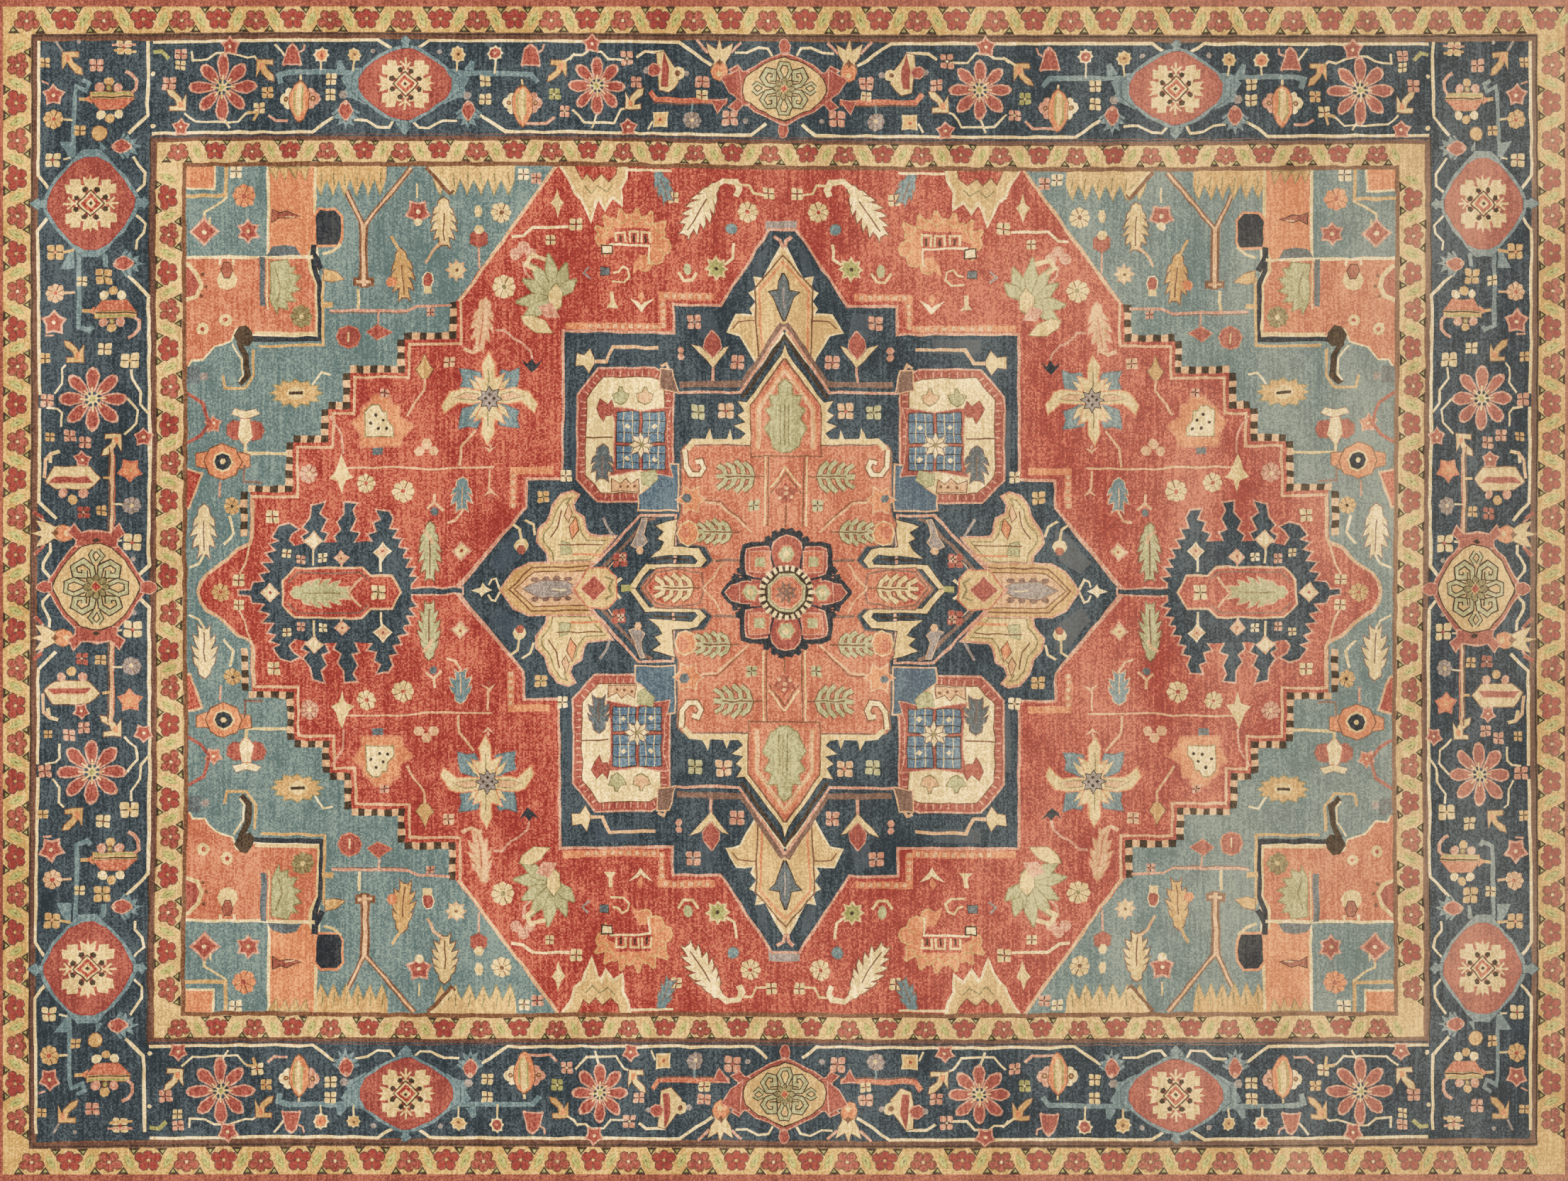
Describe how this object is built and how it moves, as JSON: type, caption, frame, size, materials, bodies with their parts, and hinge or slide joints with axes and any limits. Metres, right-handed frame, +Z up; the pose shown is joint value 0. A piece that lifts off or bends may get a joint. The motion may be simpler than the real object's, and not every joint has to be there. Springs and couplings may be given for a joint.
{
  "type": "area rug",
  "caption": "Rectangular hand-knotted wool rug with a stepped medallion, pendants, corner pieces, banded borders, bound side edges and fringed ends, lying flat.",
  "frame": {"origin": "middle of the rug's underside, on the floor", "axes": "+X along the warps, the rug's length, towards the right fringe; +Y across the rug, towards the back side edge; +Z up, out of the pile"},
  "size_m": [3.845, 2.7594, 0.011],
  "materials": {
    "cotton_foundation": "undyed cotton warps and wefts, matt, the knots' backs showing",
    "cotton_warp": "undyed plied cotton, matt",
    "cotton_kilim": "undyed cotton weft-faced band, matt",
    "wool_madder": "madder-red hand-spun wool pile, soft sheen",
    "wool_gold": "golden hand-spun wool pile, soft sheen",
    "wool_maroon": "maroon hand-spun wool pile, soft sheen",
    "wool_navy": "indigo-navy hand-spun wool pile, soft sheen",
    "wool_brown": "dark brown hand-spun wool pile, soft sheen",
    "wool_blue": "grey-blue hand-spun wool pile, soft sheen",
    "wool_cream": "cream hand-spun wool pile, soft sheen",
    "wool_salmon": "salmon hand-spun wool pile, soft sheen",
    "wool_rose": "deep red hand-spun wool pile, soft sheen"
  },
  "bodies": {
    "root": {"foundation": "cotton_foundation", "selvedge_core_front": "cotton_warp", "selvedge_core_back": "cotton_warp", "twined_cord_left": "cotton_warp", "twined_cord_right": "cotton_warp", "fringe_left": "cotton_warp", "fringe_right": "cotton_warp", "kilim_end_left": "cotton_kilim", "kilim_end_right": "cotton_kilim", "red_band_left": "wool_madder", "red_band_right": "wool_madder", "red_band_front": "wool_madder", "red_band_back": "wool_madder", "selvedge_wrap_front": "wool_madder", "selvedge_wrap_back": "wool_madder", "field_ground": "wool_madder", "outer_guard_left": "wool_gold", "outer_guard_right": "wool_gold", "outer_guard_front": "wool_gold", "outer_guard_back": "wool_gold", "inner_guard_left": "wool_gold", "inner_guard_right": "wool_gold", "inner_guard_front": "wool_gold", "inner_guard_back": "wool_gold", "outer_stripe_left": "wool_maroon", "outer_stripe_right": "wool_maroon", "outer_stripe_front": "wool_maroon", "outer_stripe_back": "wool_maroon", "inner_stripe_left": "wool_maroon", "inner_stripe_right": "wool_maroon", "inner_stripe_front": "wool_maroon", "inner_stripe_back": "wool_maroon", "main_border_left": "wool_navy", "main_border_right": "wool_navy", "main_border_front": "wool_navy", "main_border_back": "wool_navy", "medallion_ground": "wool_navy", "pendant_left": "wool_navy", "pendant_right": "wool_navy", "field_line_left": "wool_brown", "field_line_right": "wool_brown", "field_line_front": "wool_brown", "field_line_back": "wool_brown", "corner_front_left": "wool_blue", "corner_front_right": "wool_blue", "corner_back_left": "wool_blue", "corner_back_right": "wool_blue", "panel_front_left": "wool_cream", "panel_front_right": "wool_cream", "panel_back_left": "wool_cream", "panel_back_right": "wool_cream", "medallion_heart": "wool_salmon", "centre_rosette": "wool_rose"}
  },
  "joints": []
}
